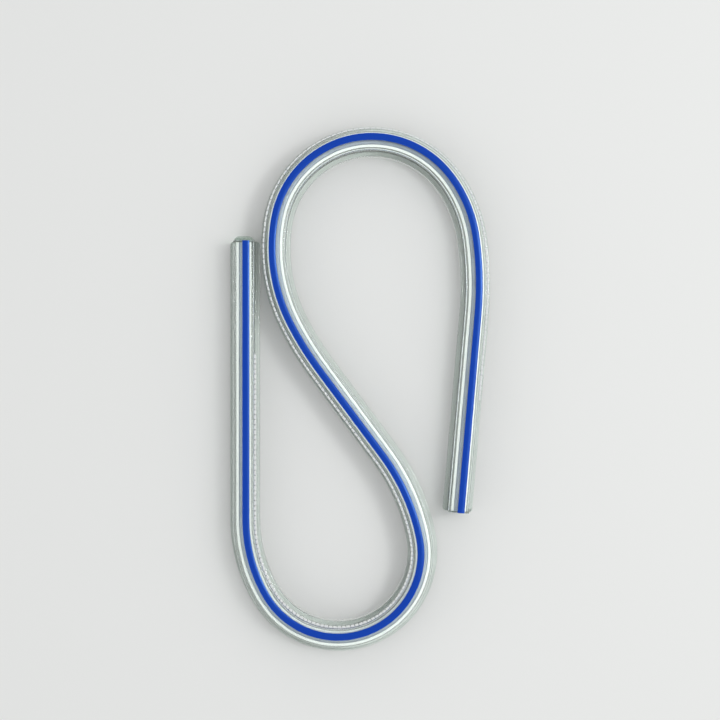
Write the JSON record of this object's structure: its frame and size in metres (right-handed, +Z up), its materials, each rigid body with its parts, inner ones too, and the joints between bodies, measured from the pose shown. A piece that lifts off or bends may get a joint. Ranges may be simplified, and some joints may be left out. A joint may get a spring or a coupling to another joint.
{
  "type": "flexible curve ruler",
  "caption": "Flexible curve ruler in clear vinyl with a blue line and a lead and steel core, bent into an S and lying on its base.",
  "frame": {"origin": "under the middle of the bent ruler's bounding box, on the surface that it lies on", "axes": "+X and +Y span the plane that the ruler bends in, +Y along the longer side of the S, towards the loop that ends in the free arm; +Z up, out of the blue line"},
  "size_m": [0.082, 0.1658, 0.011],
  "materials": {
    "clear_vinyl": "clear gloss",
    "blue_vinyl": "gloss",
    "lead": "dull grey lead",
    "spring_steel": "bright rolled steel",
    "plug_vinyl": "clear gloss"
  },
  "bodies": {
    "root": {"clear_body": "clear_vinyl", "blue_stripe": "blue_vinyl", "lead_core": "lead", "steel_strip_scale_side": "spring_steel", "steel_strip_plain_side": "spring_steel", "end_plug_start": "plug_vinyl", "end_plug_finish": "plug_vinyl"}
  },
  "joints": []
}
